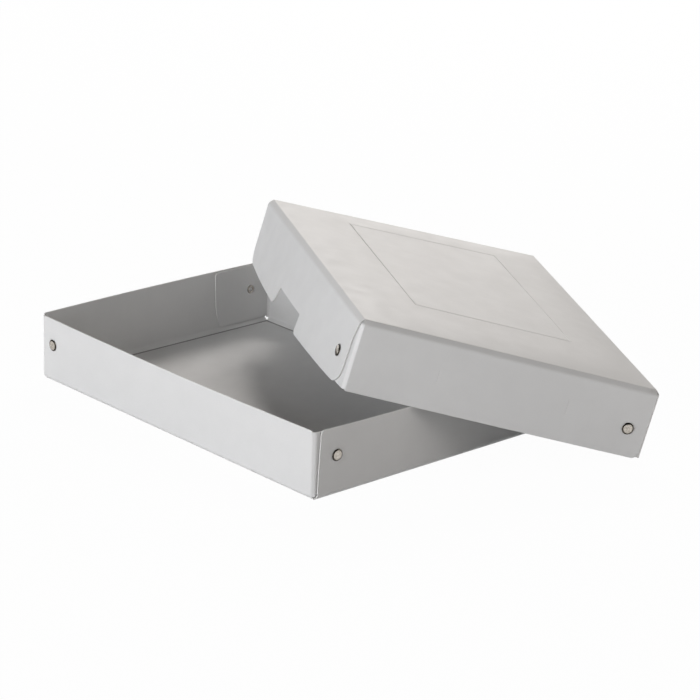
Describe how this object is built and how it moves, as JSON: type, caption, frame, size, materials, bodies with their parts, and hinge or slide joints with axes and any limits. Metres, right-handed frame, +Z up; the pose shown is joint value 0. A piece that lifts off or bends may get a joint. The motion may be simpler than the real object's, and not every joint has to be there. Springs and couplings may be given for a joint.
{
  "type": "paper storage box",
  "caption": "Shallow two-piece storage box of grey-white paperboard for loose A4 sheets, with riveted corners and its lid leaning askew on the open base.",
  "frame": {"origin": "centre of the base's flat underside", "axes": "+Z up out of the open base, +X along the base's long side, +Y across it; the lid rests over the +X +Y corner"},
  "size_m": [0.4145, 0.4084, 0.1177],
  "materials": {
    "paperboard": "smooth, slightly satin",
    "rivet_steel": "nickel plated, softly polished"
  },
  "bodies": {
    "base": {"base_tray": "paperboard", "base_rivet_front_left": "rivet_steel", "base_rivet_front_right": "rivet_steel", "base_rivet_back_right": "rivet_steel", "base_rivet_back_left": "rivet_steel"},
    "lid": {"lid_shell": "paperboard", "lid_rivet_front_left": "rivet_steel", "lid_rivet_back_left": "rivet_steel", "lid_rivet_back_right": "rivet_steel", "lid_rivet_front_right": "rivet_steel"}
  },
  "joints": [
    {"name": "lid_lift", "type": "slide", "parent": "base", "child": "lid", "axis": [0, 0, 1], "range_m": [0, 0.09]}
  ]
}
